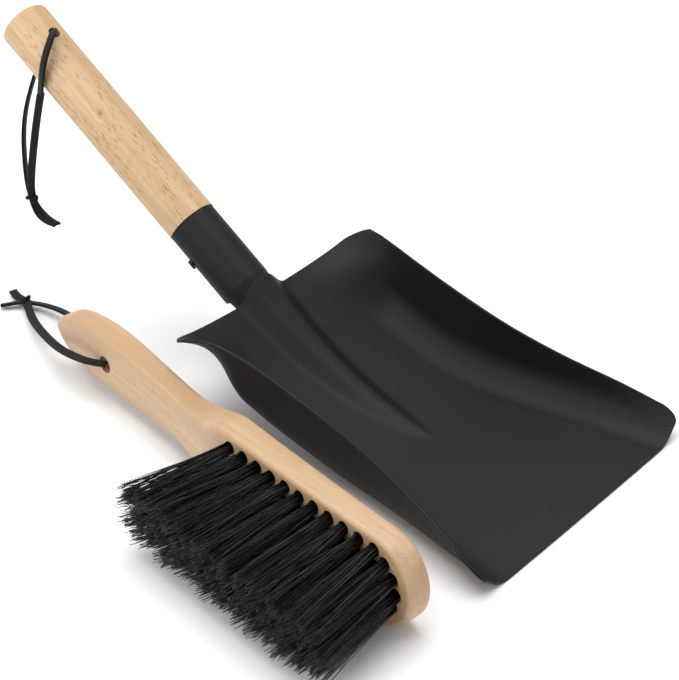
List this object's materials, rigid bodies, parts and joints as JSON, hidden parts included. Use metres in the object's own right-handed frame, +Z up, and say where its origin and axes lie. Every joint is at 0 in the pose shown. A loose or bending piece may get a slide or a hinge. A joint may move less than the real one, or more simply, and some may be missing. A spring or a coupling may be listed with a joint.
{
  "type": "dust pan and brush set",
  "caption": "Sheet metal dust pan with a ridged floor and socketed round wooden handle, and a wooden hand brush lying beside it; both have hanging laces.",
  "frame": {"origin": "middle of the pan's flat underside, on the table", "axes": "+Z up from the table; +Y from the pan's lip towards the end of its handle; +X towards the pan's right wall"},
  "size_m": [0.2531, 0.3657, 0.15],
  "materials": {
    "painted_sheet": "matte powder coat",
    "handle_wood": "clear lacquer",
    "brush_wood": "clear lacquer",
    "screw_steel": "blackened",
    "lace": "suede",
    "bristle": "stiff fibre",
    "anchor_wire": "drawn wire"
  },
  "bodies": {
    "dust_pan": {"pan": "painted_sheet", "pan_handle": "handle_wood", "socket_screw": "screw_steel", "pan_lace_wrap": "lace"},
    "pan_lace_loop": {"pan_lace_near_strand": "lace", "pan_lace_far_strand": "lace", "pan_lace_knot": "lace", "pan_lace_tail": "lace"},
    "hand_brush": {"brush_stock": "brush_wood", "bristle_nose_arc": "bristle", "bristle_column_01": "bristle", "bristle_column_02": "bristle", "bristle_column_03": "bristle", "bristle_column_04": "bristle", "bristle_column_05": "bristle", "bristle_column_06": "bristle", "bristle_column_07": "bristle", "bristle_column_08": "bristle", "bristle_column_09": "bristle", "bristle_column_10": "bristle", "bristle_column_11": "bristle", "anchor_nose_arc": "anchor_wire", "anchor_column_01": "anchor_wire", "anchor_column_02": "anchor_wire", "anchor_column_03": "anchor_wire", "anchor_column_04": "anchor_wire", "anchor_column_05": "anchor_wire", "anchor_column_06": "anchor_wire", "anchor_column_07": "anchor_wire", "anchor_column_08": "anchor_wire", "anchor_column_09": "anchor_wire", "anchor_column_10": "anchor_wire", "anchor_column_11": "anchor_wire", "brush_lace_near_strand": "lace", "brush_lace_far_strand": "lace", "brush_lace_knot": "lace", "brush_lace_long_tail": "lace", "brush_lace_short_tail": "lace"}
  },
  "joints": [
    {"name": "lift_brush", "type": "slide", "parent": "dust_pan", "child": "hand_brush", "axis": [0, 0, 1], "range_m": [0, 0.15]},
    {"name": "lace_swing", "type": "hinge", "parent": "dust_pan", "child": "pan_lace_loop", "pos_m": [-0.013, 0.287, 0.109], "axis": [0.6065, 0.7641, 0.2197], "range_deg": [-20, 30]}
  ]
}
